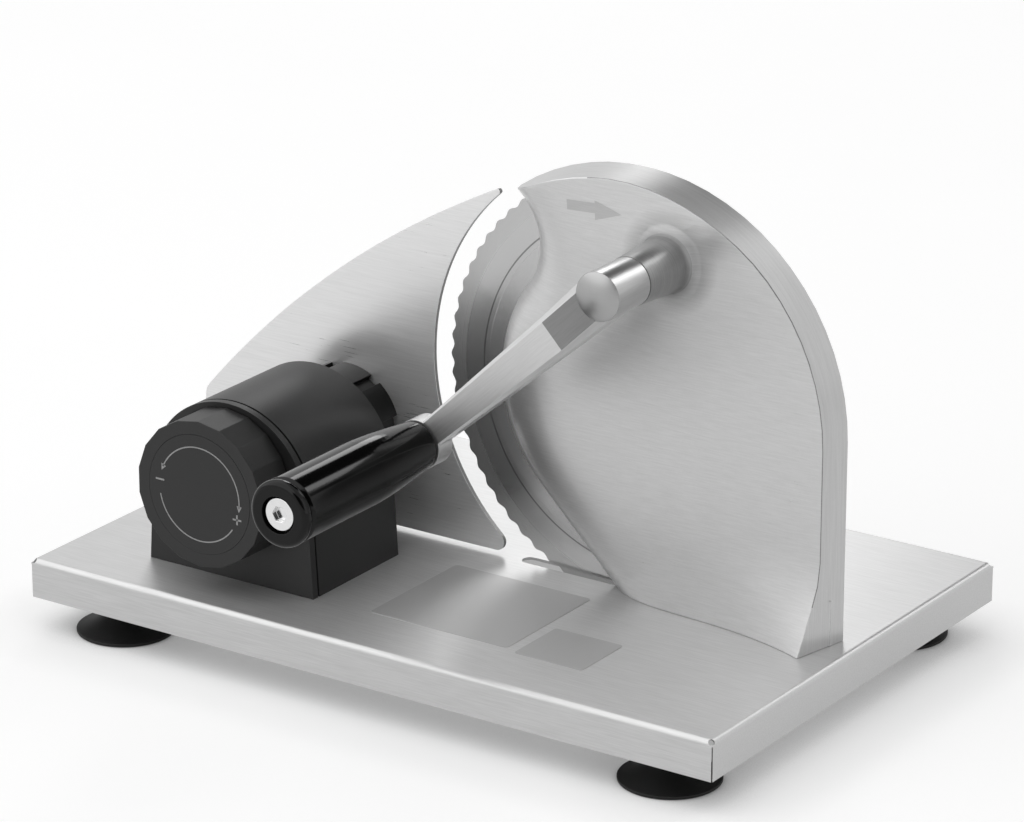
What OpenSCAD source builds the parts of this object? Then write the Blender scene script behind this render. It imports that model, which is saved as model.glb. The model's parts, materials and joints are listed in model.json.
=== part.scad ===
// Hand-cranked bread slicer with a geared round blade and an adjustable thickness fence.
// Millimetres, +Z up, +X along the base, the crank side faces -Y.
// The origin lies on the floor, under the middle of the overall box.

/* [Base] */
// Length of the folded base tray
base_l = 340; // [320:1:380]
// Depth of the tray, front to back
base_d = 225; // [215:1:260]
// Height of the tray's side walls
base_h = 17.5; // [14:0.5:24]
// Thickness of the sheet
sheet_t = 1.2; // [0.8:0.1:2]
// Outer radius of the folded edges
bend_r = 2.6; // [2.2:0.1:4]
// Width of the open seam at each corner
seam_w = 0.6; // [0.3:0.1:1]
// Diameter of the relief hole at each corner
relief_d = 2.6; // [1.6:0.2:4]
// Width of the slot that the blade dips through
slot_w = 7; // [5:0.5:10]
// Room at each end of the slot beyond the blade
slot_margin = 15.5; // [4:0.5:20]

/* [Feet] */
// Height of the tray's lower edge above the floor
foot_clear = 14.5; // [11:0.5:20]
// Radius of a suction cup at its rim
cup_r = 21.2; // [16:0.2:24]
// Flat width of the rim
cup_rim_w = 2; // [1:0.25:3]
// Thickness of the cup at its rim
cup_rim_t = 1.2; // [0.8:0.1:2]
// Radius of the cup's neck
cup_neck_r = 8; // [6.5:0.25:10]
// Height at which the flared cup meets its neck
cup_flare_h = 9.5; // [7:0.25:10]
// Cup axis from the tray's end
cup_inset_x = 33; // [25:1:50]
// Cup axis from the tray's front or back
cup_inset_y = 22; // [22:1:40]
// Radius of the stud in the cup
stud_r = 2.5; // [2:0.25:3]
// Radius of the nut welded under the tray
weld_nut_r = 7; // [5:0.25:8]
// Height of the welded nut
weld_nut_h = 6; // [4:0.5:8]

/* [Blade] */
// Diameter over the blade's waves
blade_d = 190; // [170:1:200]
// Thickness of the blade
blade_t = 2; // [1.5:0.1:2.5]
// Thickness left at the cutting edge
edge_t = 0.4; // [0.2:0.1:0.8]
// Number of waves in the edge
wave_count = 70; // [50:1:90]
// Depth of a wave
wave_depth = 1.4; // [0.8:0.1:2]
// Width of the ground bevel
bevel_w = 10; // [6:0.5:14]
// Width of the thinned zone, from its step to the edge
ground_w = 20.3; // [16:0.1:26]
// Depth of the step where the thinned zone starts
ground_step = 0.2; // [0.1:0.05:0.4]
// Blade axis to the right of the base's middle
blade_x = 61; // [50:1:66]
// Blade axis above the tray's top
blade_h = 85; // [82:1:90]
// Blade's middle plane behind the base's middle
blade_back = 4.2; // [0:0.1:8]
// Radius of the axle that the blade turns on
axle_r = 5; // [4:0.25:6]

/* [Drive] */
// Module of the gear pair
gear_module = 2; // [1.9:0.05:2.05]
// Teeth of the crank's pinion
pinion_teeth = 18; // [18:1:19]
// Teeth of the blade's gear
gear_teeth = 54; // [52:1:54]
// Thickness of the gear rim
gear_t = 5; // [3.5:0.25:6]
// Backlash between the teeth
backlash = 0.24; // [0.16:0.02:0.4]
// Direction of the crank from the blade's axis
crank_dir = 70; // [60:1:80]
// Radius of the crank's shaft
shaft_r = 5; // [4:0.25:5.5]
// Wall of the bearing bushes
bush_wall = 2; // [1.5:0.25:2.5]
// Length of each crank bush
bush_l = 13; // [8:0.5:15]

/* [Cover] */
// Rim of the cover beyond the blade's waves
cover_rim = 5; // [4:0.5:10]
// Distance of the cover's inner edge from the blade's waves
lip_inset = 28.5; // [26:0.5:32]
// Radius of the hollow at the top of that edge
hook_r = 28.4; // [22:0.2:34]
// Direction of the hollow from the blade's axis
hook_dir = 143; // [140:1:146]
// Direction at which the edge leaves the blade's circle for the base
lip_end_dir = 225; // [222:1:230]
// Gap from the blade to the edge's lip
lip_gap = 2.2; // [1.6:0.1:3]
// Gap from the blade to the cover's flat back
cover_gap = 0.7; // [0.5:0.1:1.2]
// Rise of the face from its lip
face_rise = 13.5; // [12:0.5:18]
// How softly the face rolls away from its lip
lip_roll = 9; // [6:0.5:10]
// Wall of the casting
cover_wall = 2.5; // [2:0.1:3]
// Draft of the rim, inward per millimetre of depth
rim_draft = 0.2; // [0.05:0.01:0.25]
// How far the right foot flares forward
flare_out = 14.5; // [6:0.5:18]
// Height over which the foot flares
flare_h = 34; // [24:1:40]
// Swelling of the face round the crank boss
swell_h = 3; // [0:0.25:4]
// Radius of that swelling
swell_r = 24; // [18:1:30]
// Length of the boss in front of the face
boss_l = 31; // [24:0.5:36]
// Radius of the boss at its front end
boss_r = 10.4; // [10:0.1:12]
// Radius of the boss where its foot starts
boss_root_r = 11.8; // [11:0.1:15]
// Radius of the fillet at the boss's foot
boss_fillet = 5.5; // [3:0.5:7]
// Radius of a screw post inside the cover
post_r = 3.8; // [3.6:0.1:4]

/* [Crank] */
// Distance from the crank's axis to the grip's axis
arm_l = 107.8; // [96:0.2:116]
// Direction of the arm as it stands
arm_dir = 223.7; // [0:0.1:360]
// Radius of the arm's hub
hub_r = 10.2; // [10:0.1:12]
// Length of the hub
hub_l = 22.4; // [18:0.1:24]
// Rise of the domed cap in front of the hub
cap_rise = 2.2; // [1.6:0.1:3]
// Gap between the boss and the hub
hub_gap = 0.4; // [0.3:0.1:0.8]
// Width of the arm beside the hub
arm_w_hub = 20.2; // [17:0.1:20.4]
// Width of the arm beside the eye
arm_w_eye = 11; // [9:0.5:16]
// Thickness of the arm beside the hub
arm_t_hub = 16; // [12:0.5:18]
// Thickness of the arm at its bend
arm_t_bend = 11.4; // [9:0.2:13]
// Thickness of the eye
arm_t = 9.8; // [7:0.1:11]
// Distance from the crank's axis to the bend in the arm's front
arm_bend = 30; // [24:1:40]
// How far the eye stands in front of the hub
eye_lead = 13.3; // [10:0.1:16]
// Radius of the eye that carries the grip
eye_r = 10.6; // [9.5:0.1:13]
// Chamfer of the arm's front edges beside the hub
chamfer_hub = 3.3; // [2:0.1:4]
// Chamfer of those edges at the bend
chamfer_bend = 2; // [1:0.1:3]
// Chamfer of those edges beside the eye
chamfer_eye = 0.8; // [0.4:0.1:1.5]

/* [Grip] */
// Length of the grip with its end ring
grip_l = 93.2; // [85:0.2:115]
// Radius of the grip's straight part
grip_r = 13.85; // [13:0.05:16]
// Radius of the grip beside the arm
grip_neck_r = 10.6; // [9.5:0.1:11.5]
// Length of the taper beside the arm
grip_taper = 40; // [30:1:50]
// Thickness of the end ring
ring_t = 5.2; // [4.8:0.1:8]
// How far the ring's bead stands out of the grip
ring_bead = 0.2; // [0.1:0.1:1]
// Radius of the recess for the screw head
recess_r = 7.75; // [7.25:0.25:8.5]
// Radius of the spindle
spindle_r = 4; // [3:0.25:4.5]
// Radius of the spindle's head
head_r = 6.75; // [6:0.25:7]

/* [Thickness fence] */
// Thickness of the fence
fence_t = 2; // [1.5:0.1:3]
// Gap from the blade's waves to the fence's concave edge
fence_gap = 7; // [6:0.5:10]
// How far the fence stands ahead of the blade's front
fence_lead = 1.2; // [0.8:0.1:2]
// Travel of the fence from thin to thick
fence_travel = 20; // [12:1:22]
// Gap between the fence and the tray's top
fence_lift = 1.8; // [1:0.1:3]
// Fence's left edge from the tray's end
fence_inset = 6.5; // [3:0.5:14]
// Height of the fence's left corner above the tray's top
fence_corner_h = 44; // [36:1:60]
// Height of the fence's tip above the tray's top
fence_tip_h = 166.4; // [150:0.2:172]
// Radius of the fence's curved top edge
fence_top_r = 476; // [320:1:700]

/* [Adjuster] */
// Adjuster axis to the left of the base's middle
adjuster_x = 86; // [80:1:95]
// Adjuster axis above the tray's top
adjuster_h = 44; // [40:1:48]
// Width of the housing at its foot
housing_w = 85.5; // [84:0.5:96]
// Depth of the housing
housing_d = 61; // [58:0.5:70]
// Radius of the housing's arched top
arch_r = 40.5; // [39:0.5:42]
// Height of the arch's centre above the tray's top
arch_h = 37.5; // [36:0.5:42]
// Free length of the sleeve with the fence set thick
sleeve_left = 4; // [2:0.5:8]
// Radius of the sleeve that carries the fence
sleeve_r = 27; // [25:0.25:28]
// Number of guide grooves along the sleeve
groove_count = 8; // [4:1:8]
// Direction of the first groove
groove_dir = 12.5; // [0:0.5:45]
// Width of a guide groove
groove_w = 5.2; // [5:0.2:7]
// Depth of a guide groove
groove_d = 2.6; // [1.5:0.1:3]
// Radius of the knob over its corners
knob_r = 32.2; // [29:0.1:34]
// Depth of the knob
knob_d = 20; // [16:0.5:26]
// Number of flats round the knob
knob_flats = 18; // [14:1:24]
// Radius of the disc in the knob's front
dial_r = 26; // [22:0.5:27]
// Radius of the adjuster's screw
lead_r = 12; // [10:0.5:14]

/* [Fits] */
// Radial clearance of turning and sliding fits
run_gap = 0.05; // [0.02:0.01:0.1]
// Radial clearance of fixed fits
seat_gap = 0.02; // [0.01:0.01:0.04]
// End play of turning pieces
end_gap = 0.3; // [0.2:0.05:0.5]
// Radius of the fixing screws
screw_r = 2; // [1.5:0.1:2.2]
// Radius of a fixing screw's head
screw_head_r = 3.6; // [3:0.1:4.2]
// Height of a fixing screw's head
screw_head_h = 2.6; // [2:0.1:3]

/* [Hidden] */
$fn = 64;
cut = 1;

// Levels measured towards the crank side from the blade's middle plane
blade_front = blade_t / 2;
cover_back = blade_front + cover_gap;
lip_front = blade_front + lip_gap;
face_front = lip_front + face_rise;
boss_front = face_front + boss_l;
hub_back = boss_front + hub_gap;
hub_front = hub_back + hub_l;
washer_t = 0.8;
eye_front = hub_front + eye_lead;
eye_back = eye_front - arm_t;
grip_back = eye_front + washer_t + end_gap;
grip_front = grip_back + grip_l;
fence_front = blade_front + fence_lead;
housing_back = fence_front + fence_travel + sleeve_left;
housing_front = housing_back + housing_d;
knob_back = housing_front + end_gap;
knob_front = knob_back + knob_d;

// Places in the overall frame
top_z = foot_clear + base_h;
blade_y = (grip_front + blade_back - base_d / 2) / 2;
base_y = blade_y - blade_back;
axis_z = top_z + blade_h;
cup_x = base_l / 2 - cup_inset_x;
cup_y = base_d / 2 - cup_inset_y;
least_bend_r = 0.4;
screw_inset = 10;

// Gear pair and crank axis
blade_r = blade_d / 2;
gear_distance = gear_module * (pinion_teeth + gear_teeth) / 2;
crank_x = gear_distance * cos(crank_dir);
crank_z = gear_distance * sin(crank_dir);
pressure_angle = 20;
tooth_clearance = 1.25;
flank_steps = 4;
gear_lift = 1.6;
gear_back = blade_front + gear_lift;
gear_front = gear_back + gear_t;
pinion_overlap = 0.4;
pinion_back = gear_back - pinion_overlap;
pinion_front = gear_front + pinion_overlap;
bush_back = pinion_front + end_gap;
bush_r = shaft_r + run_gap + bush_wall;
blade_bush_r = axle_r + run_gap + bush_wall;
blade_clear = 0.4;
shaft_inset = 8;
crank_screw_l = 12;
clip_t = 0.6;
clip_reach = 1.6;
clip_depth = 0.6;

// Cover outline, measured from the blade's axis
cover_r = blade_r + cover_rim;
lip_r = blade_r - lip_inset;
hook_c = polar(lip_r + hook_r, hook_dir);
tip_along = (pow(cover_r, 2) - pow(hook_r, 2) + pow(lip_r + hook_r, 2)) / (2 * (lip_r + hook_r));
tip_dir = hook_dir - acos(tip_along / cover_r);
tip_p = polar(cover_r, tip_dir);
hook_start = atan2(tip_p.y - hook_c.y, tip_p.x - hook_c.x);
hook_turn = hook_start - (hook_dir - 180);
line_start = polar(lip_r, lip_end_dir);
line_dir = lip_end_dir + 90;
line_l = (line_start.y + blade_h) / -sin(line_dir);
lip_turn = lip_end_dir - hook_dir;
hook_len = arc_length(hook_r, hook_turn);
lip_len = arc_length(lip_r, lip_turn);
edge_len = line_l + lip_len + hook_len;
rim_arc_len = arc_length(cover_r, tip_dir);
rim_len = blade_h + rim_arc_len;
tip_cut = 1.6;
cover_columns = 16;
cover_rows = 32;
roll_spread = 1.5;
flare_start = 0.2;
flare_curve = 2.6;
flare_fall = 1.3;
post_h = 20;
post_l = 15;
post_xs = [24, 58, cover_r - cover_wall - post_r];
post_level = lip_front + 5;
boss_wall = 4;
axle_boss_r = axle_r + boss_wall;
inner_boss_r = bush_r + boss_wall;

// Grip axis, measured from the crank's axis
grip_p = polar(arm_l, arm_dir);
spindle_head_h = 3.8;
spindle_socket_d = 2.4;
hex_across = 6;

// Fence outline, measured from the blade's axis
fence_r = blade_r + fence_gap;
fence_left = -base_l / 2 + fence_inset - blade_x;
fence_low = fence_lift - blade_h;
fence_corner = [fence_left, fence_corner_h - blade_h];
fence_tip = [-sqrt(pow(fence_r, 2) - pow(fence_tip_h - blade_h, 2)), fence_tip_h - blade_h];
top_chord = fence_tip - fence_corner;
top_mid = (fence_tip + fence_corner) / 2;
top_sag = sqrt(pow(fence_top_r, 2) - pow(norm(top_chord) / 2, 2));
top_c = top_mid + top_sag * [top_chord.y, -top_chord.x] / norm(top_chord);
corner_round = 9;
tip_round = 1.2;
low_round = 4;

// Adjuster sizes that follow from its sleeve and screw
adj_x = -adjuster_x - blade_x;
adj_z = adjuster_h - blade_h;
housing_wall = 5;
housing_screw_l = 11;
sleeve_l = 54;
sleeve_end_t = 6;
sleeve_wall = 5;
nut_l = 18;
key_l = 14;
lead_room = 2;
knob_screw_l = 10;
knob_web = 1;
collar_t = 4;
collar_reach = 3;
neck_r = 8;
knob_washer_r = neck_r + boss_wall;
lead_back = fence_front + sleeve_end_t + fence_travel + lead_room;
bead_w = 3.4;
bead_groove = 1;
dial_t = 1.6;
knob_screw_head_r = 5;
knob_screw_head_h = 3;
fence_screw_pcd = 34;
blade_screw_pcd = 34;
flange_r = 26;
wave_steps = 6;
web_inset = 6;

// A point at a radius and a direction
function polar(r, a) = [r * cos(a), r * sin(a)];

// Length of an arc
function arc_length(r, turn) = r * turn * PI / 180;

// Points along an arc
function arc(c, r, from, to, n) = [for (i = [0:n]) c + polar(r, from + (to - from) * i / n)];

// A closed outline without the points that two joined arcs share
function distinct(points) = [
  for (i = [0:len(points) - 1]) if (norm(points[i] - points[(i + 1) % len(points)]) > 0.001) points[i]
];

// Direction from one point to another
function heading(from, to) = atan2(to.y - from.y, to.x - from.x);

// The left one of two points at given distances from two centres, walking from c1 to c2
function meet(c1, r1, c2, r2) =
  let (
    d = norm(c2 - c1),
    a = (d * d + r1 * r1 - r2 * r2) / (2 * d),
    h = sqrt(r1 * r1 - a * a),
    e = (c2 - c1) / d
  )
  c1 + a * e + h * [-e.y, e.x];

// One involute flank point at radius r: half the tooth's angle there
function involute(r, base) = let (t = acos(base / r)) tan(t) * 180 / PI - t;
function tooth_half(r, teeth) =
  let (
    pitch = gear_module * teeth / 2,
    base = pitch * cos(pressure_angle),
    half = 90 / teeth - backlash / 4 / pitch * 180 / PI
  )
  half + involute(pitch, base) - involute(max(r, base), base);

// Outline of a spur gear with a tooth on the +X axis
function gear_points(teeth) =
  let (
    pitch = gear_module * teeth / 2,
    root = pitch - tooth_clearance * gear_module,
    tip = pitch + gear_module,
    low = max(root, pitch * cos(pressure_angle)),
    radii = [for (i = [0:flank_steps]) low + (tip - low) * i / flank_steps]
  )
  [
    for (k = [0:teeth - 1])
      let (a = 360 * k / teeth)
      each concat(
        [polar(root, a - tooth_half(low, teeth))],
        [for (r = radii) polar(r, a - tooth_half(r, teeth))],
        [for (i = [0:flank_steps]) let (r = radii[flank_steps - i]) polar(r, a + tooth_half(r, teeth))],
        [polar(root, a + tooth_half(low, teeth))]
      )
  ];

// The cover's inner edge, by the length walked up from the base
function edge_at(s) =
  s < line_l ? line_start + polar(line_l - s, line_dir)
  : s < line_l + lip_len ? polar(lip_r, lip_end_dir - (s - line_l) / lip_len * lip_turn)
  : hook_c + polar(hook_r, hook_dir - 180 + (s - line_l - lip_len) / hook_len * hook_turn);

// The cover's outer rim, by the length walked up from the base
function rim_at(s) =
  s < blade_h ? [cover_r, s - blade_h]
  : polar(cover_r, (s - blade_h) / rim_arc_len * tip_dir);

// Outward direction of that rim
function rim_out(s) = s < blade_h ? [1, 0] : polar(1, (s - blade_h) / rim_arc_len * tip_dir);

// Distance of a point of the face from the inner edge
function from_edge(p) =
  let (
    past_line = p * polar(1, line_dir) > 0,
    past_hook = p * polar(1, hook_dir - 90) > 0,
    to_line = lip_r - p * polar(1, lip_end_dir),
    to_hook = norm(p - hook_c) - hook_r
  )
  past_line && past_hook ? min(to_line, to_hook)
  : past_line ? to_line
  : past_hook ? to_hook
  : lip_r - norm(p);

// Level of the cover's face: a lip that rolls up, a swelling at the boss and a flared foot
function face_level(p) =
  let (
    roll = face_rise * (1 - exp(-max(0, from_edge(p)) / lip_roll)),
    swell = swell_h * exp(-pow(norm(p - [crank_x, crank_z]) / swell_r, 2)),
    across = max(0, (p.x / cover_r - flare_start) / (1 - flare_start)),
    up = max(0, 1 - (p.y + blade_h) / flare_h)
  )
  lip_front + roll + swell + flare_out * pow(across, flare_curve) * pow(up, flare_fall);

// A row of points over the cover, set in by a wall: up its edge, across the face and down its rim
function cover_row(v, wall) =
  let (
    e = edge_at(v * (edge_len - tip_cut)),
    s = v * (rim_len - tip_cut),
    o = rim_at(s),
    front = o - rim_draft * (face_level(o) - cover_back) * rim_out(s),
    span = norm(front - e),
    dir = (front - e) / span,
    first = e + dir * wall,
    last = o - dir * wall,
    face = [
      for (i = [0:cover_columns])
        let (
          u = pow(i / cover_columns, roll_spread),
          p = first + dir * u * (span - 2 * wall)
        )
        [p.x, p.y, face_level(p) - wall]
    ]
  )
  concat([[first.x, first.y, cover_back]], face, [[last.x, last.y, cover_back]]);

// Two triangles for each cell of a grid of rows, w points wide, from point number base on
function grid_faces(rows, w, base) = [
  for (j = [0:rows - 2]) for (i = [0:w - 2])
    let (a = base + j * w + i, b = a + w)
    each [[a, b, a + 1], [a + 1, b, b + 1]]
];

function flipped(faces) = [for (f = faces) [for (k = [1:len(f)]) f[len(f) - k]]];

// Two triangles for each step between two rows of point numbers
function strip(p, q) = [
  for (k = [0:len(p) - 2]) each [[p[k], q[k], p[k + 1]], [p[k + 1], q[k], q[k + 1]]]
];

// The cover's thin wall: an outer and an inner sheet joined along the back and the foot
module cover_shell() {
  w = cover_columns + 3;
  outer_n = cover_rows + 1;
  inner_n = cover_rows - 3;
  outer = [for (j = [0:outer_n - 1]) cover_row(j / cover_rows, 0)];
  inner = [for (j = [0:inner_n - 1]) cover_row(j / cover_rows, cover_wall)];
  base = outer_n * w;
  top = base + (inner_n - 1) * w;
  edge_in = [for (j = [0:inner_n - 1]) base + j * w];
  rim_in = [for (j = [0:inner_n - 1]) base + j * w + w - 1];
  outer_top = [for (i = [0:w - 1]) (outer_n - 1) * w + i];
  inner_top = [for (i = [0:w - 1]) top + i];
  edge_tip = [for (j = [inner_n - 1:outer_n - 1]) j * w];
  rim_tip = [for (j = [inner_n - 1:outer_n - 1]) j * w + w - 1];
  polyhedron(
    points = [for (row = concat(outer, inner)) each row],
    faces = concat(
      grid_faces(outer_n, w, 0),
      flipped(grid_faces(inner_n, w, base)),
      flipped([outer_top]),
      [inner_top],
      strip([for (j = [0:inner_n - 1]) j * w], edge_in),
      strip(rim_in, [for (j = [0:inner_n - 1]) j * w + w - 1]),
      strip([edge_tip[0], rim_tip[0]], [top, top + w - 1]),
      strip(edge_tip, rim_tip),
      strip([for (i = [0:w - 1]) base + i], [for (i = [0:w - 1]) i])
    ),
    convexity = 6
  );
}

// Stands children on the blade's middle plane at a place from its axis, facing the crank side
module at_blade(p = [0, 0]) {
  translate([blade_x + p.x, blade_y, axis_z + p.y]) rotate([90, 0, 0]) children();
}

// Stands children at the crank's axis, the grip's axis and the adjuster's axis
module at_crank() { at_blade([crank_x, crank_z]) children(); }
module at_grip() { at_blade([crank_x, crank_z] + grip_p) children(); }
module at_adjuster() { at_blade([adj_x, adj_z]) children(); }

// A round bar or a ring between two levels
module bar(r, from, to) { translate([0, 0, from]) cylinder(r = r, h = to - from); }
module ring(outer, inner, from, to) {
  difference() {
    bar(outer, from, to);
    bar(inner, from - cut, to + cut);
  }
}

// A hexagon socket sunk into a head
module hex_socket(from, to) {
  translate([0, 0, from]) cylinder(r = hex_across / sqrt(3), h = to - from, $fn = 6);
}

// A screw from below the tray: head under the sheet, shank up into the piece above
module tray_screw(shank) {
  translate([0, 0, top_z - sheet_t - screw_head_h]) cylinder(r = screw_head_r, h = screw_head_h);
  translate([0, 0, top_z - sheet_t - cut]) cylinder(r = screw_r, h = shank + sheet_t + cut);
}

// Places of the screws that hold the cover and the housing
module at_cover_screws() {
  for (x = post_xs) translate([blade_x + x, blade_y - post_level, 0]) children();
}
module at_housing_screws() {
  for (sx = [-1, 1]) for (w = [housing_back + screw_inset, housing_front - screw_inset])
    translate([-adjuster_x + sx * (housing_w / 2 - screw_inset), blade_y - w, 0]) children();
}

// A tray profile with rounded top corners, drawn upright from its low edge
module tray_profile(l, low, z, r) {
  translate([-l / 2, low]) square([l, z - r - low]);
  translate([r - l / 2, low]) square([l - 2 * r, z - low]);
  for (s = [-1, 1]) translate([s * (l / 2 - r), z - r]) circle(r = r);
}

// The block of the tray, set in by a wall: two rounded profiles crossed
module tray_block(inset, low) {
  l = base_l - 2 * inset;
  d = base_d - 2 * inset;
  z = top_z - inset;
  r = max(bend_r - inset, least_bend_r);
  translate([0, base_y, 0]) intersection() {
    rotate([90, 0, 0]) linear_extrude(d, center = true) tray_profile(l, low, z, r);
    rotate([90, 0, 90]) linear_extrude(l, center = true) tray_profile(d, low, z, r);
  }
}

module base_plate() {
  half_slot = sqrt(pow(blade_r, 2) - pow(blade_h, 2)) + slot_margin - slot_w / 2;
  corner_in = bend_r * (1 - 1 / sqrt(3));
  color("lightgray") difference() {
    tray_block(0, foot_clear);
    tray_block(sheet_t, foot_clear - cut);
    translate([blade_x, blade_y, top_z - sheet_t - cut]) {
      translate([-half_slot, -slot_w / 2, 0]) cube([2 * half_slot, slot_w, sheet_t + 2 * cut]);
      for (s = [-1, 1]) translate([s * half_slot, 0, 0]) cylinder(r = slot_w / 2, h = sheet_t + 2 * cut);
    }
    for (sx = [-1, 1]) for (sy = [-1, 1])
      translate([sx * base_l / 2, base_y + sy * base_d / 2, 0]) rotate([0, 0, atan2(sy, sx)]) {
        translate([-2 * bend_r, -seam_w / 2, foot_clear - cut])
          cube([3 * bend_r, seam_w, base_h - bend_r + cut]);
        translate([-corner_in * sqrt(2), 0, top_z - corner_in]) rotate([0, atan(sqrt(2)), 0])
          cylinder(r = relief_d / 2, h = 4 * bend_r, center = true);
      }
    at_cover_screws() cylinder(r = screw_r + seat_gap, h = top_z + cut);
    at_housing_screws() cylinder(r = screw_r + seat_gap, h = top_z + cut);
  }
}

// Roof over the cup's dished underside, the flare's curve, and the stud's ends in the cup and the nut
cup_roof = 4;
cup_steps = 8;
cup_curve_r = 1.5;
cup_curve_z = 1.3;
stud_low = cup_flare_h + cup_roof / 2;
stud_high = top_z - sheet_t - end_gap;
neck_top = top_z - sheet_t - weld_nut_h;

// One suction cup: a flared rim, a straight neck, a dished underside and a blind hole for its stud
module cup(sx, sy) {
  dish = cup_flare_h - cup_roof;
  color([0.07, 0.07, 0.07]) translate([sx * cup_x, base_y + sy * cup_y, 0]) difference() {
    rotate_extrude() polygon(concat(
      [[0, 0], [cup_r, 0], [cup_r, cup_rim_t]],
      [
        for (i = [1:cup_steps])
          let (t = i / cup_steps)
          [
            cup_r - (cup_r - cup_neck_r) * (1 - pow(1 - t, cup_curve_r)),
            cup_rim_t + (cup_flare_h - cup_rim_t) * pow(t, cup_curve_z)
          ]
      ],
      [[cup_neck_r, neck_top], [0, neck_top]]
    ));
    translate([0, 0, -cut / 2]) cylinder(r1 = cup_r - cup_rim_w, r2 = cup_neck_r / 2, h = dish);
    translate([0, 0, stud_low]) cylinder(r = stud_r + seat_gap, h = top_z);
  }
}
module foot_front_left() { cup(-1, -1); }
module foot_front_right() { cup(1, -1); }
module foot_back_left() { cup(-1, 1); }
module foot_back_right() { cup(1, 1); }

module at_cups() {
  for (sx = [-1, 1]) for (sy = [-1, 1]) translate([sx * cup_x, base_y + sy * cup_y, 0]) children();
}

module foot_weld_nuts() {
  color("silver") at_cups() ring(weld_nut_r, stud_r + seat_gap, neck_top, top_z - sheet_t);
}

module foot_studs() {
  color("silver") at_cups() bar(stud_r, stud_low, stud_high);
}

// Inner bosses and posts reach this far into the cover's wall
bite = 1.2;

// The fillet of the crank boss ends this far under the face
fillet_sink = 0.1;

// Boss, bearing seat and screw posts that are cast with the cover
module cover_bosses() {
  crank_level = face_level([crank_x, crank_z]);
  foot_r = boss_root_r + boss_fillet;
  foot_level = face_level([crank_x + foot_r, crank_z]) - fillet_sink;
  at_crank() rotate_extrude() polygon(concat(
    [[0, bush_back], [inner_boss_r, bush_back]],
    [[inner_boss_r, crank_level - bite], [foot_r, foot_level - bite]],
    arc([foot_r, foot_level + boss_fillet], boss_fillet, 270, 180, 8),
    [[boss_r, boss_front], [0, boss_front]]
  ));
  at_blade() bar(axle_boss_r, gear_front + end_gap + washer_t, face_level([0, 0]) - bite);
  for (x = post_xs) translate([blade_x + x, blade_y - post_level, top_z]) {
    reach = face_level([x, post_h - blade_h]) - post_level - bite;
    cylinder(r = post_r, h = post_h);
    if (x < post_xs[2]) translate([-post_r / 2, -reach, 0]) cube([post_r, reach, post_h]);
    else translate([0, -post_r / 2, 0]) cube([post_r + bite, post_r, post_h]);
  }
}

module cover_bores() {
  at_crank() bar(bush_r + seat_gap, 0, boss_front + cut);
  at_blade() bar(axle_r + seat_gap, 0, face_level([0, 0]) - cover_wall);
  at_cover_screws() translate([0, 0, top_z - cut]) cylinder(r = screw_r + seat_gap, h = post_l + cut + cut);
}

module blade_cover() {
  color("gainsboro") difference() {
    union() {
      at_blade() cover_shell();
      cover_bosses();
    }
    cover_bores();
  }
}

module cover_screws() {
  color("silver") at_cover_screws() tray_screw(post_l);
}

module crank_bush_rear() {
  color("darkgoldenrod") at_crank() ring(bush_r, shaft_r + run_gap, bush_back, bush_back + bush_l);
}

module crank_bush_front() {
  color("darkgoldenrod") at_crank() ring(bush_r, shaft_r + run_gap, boss_front - bush_l, boss_front);
}

// The axle stops just behind the blade, where the retaining screw seats on it
axle_back = -blade_front - end_gap;
retainer_l = 7;
retainer_head_h = 2.4;
retainer_reach = 2;
socket_d = 1.4;

module blade_axle() {
  level = face_level([0, 0]) - cover_wall;
  color("silver") at_blade() difference() {
    bar(axle_r, axle_back, level);
    bar(screw_r + seat_gap, axle_back - cut, axle_back + retainer_l + cut);
  }
}

module axle_washer() {
  color("silver") at_blade()
    ring(axle_boss_r, axle_r + seat_gap, gear_front + end_gap, gear_front + end_gap + washer_t);
}

module blade_retaining_screw() {
  head_back = axle_back - retainer_head_h;
  color("silver") at_blade() difference() {
    union() {
      bar(blade_bush_r + retainer_reach, head_back, axle_back);
      bar(screw_r, axle_back - cut, axle_back + retainer_l);
    }
    hex_socket(head_back - cut, head_back + socket_d);
  }
}

// Wavy outline of the cutting edge
function wave_points() =
  let (steps = wave_steps * wave_count)
  [
    for (i = [0:steps - 1])
      let (a = 360 * i / steps)
      polar(blade_r - wave_depth / 2 * (1 - cos(wave_count * a)), a)
  ];

module at_blade_screws() {
  for (k = [0:2]) rotate([0, 0, 120 * k + 90]) translate([blade_screw_pcd / 2, 0, 0]) children();
}

module blade() {
  ground_r = blade_r - ground_w;
  bevel_r = blade_r - bevel_w;
  land_r = blade_r - 2 * wave_depth;
  color("gray") at_blade() difference() {
    intersection() {
      rotate_extrude() polygon([
        [0, -blade_front], [blade_r + cut, -blade_front], [blade_r + cut, edge_t - blade_front],
        [land_r, edge_t - blade_front], [bevel_r, blade_front - 2 * ground_step],
        [ground_r + ground_step, blade_front - ground_step], [ground_r, blade_front], [0, blade_front]
      ]);
      translate([0, 0, -blade_t]) linear_extrude(2 * blade_t) polygon(wave_points());
    }
    bar(blade_bush_r + seat_gap, -blade_t, blade_t);
    at_blade_screws() translate([0, 0, -blade_front]) {
      cylinder(r = screw_r + seat_gap, h = 3 * blade_t, center = true);
      cylinder(r1 = screw_head_r + seat_gap, r2 = screw_r + seat_gap, h = screw_head_r - screw_r);
    }
  }
}

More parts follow.
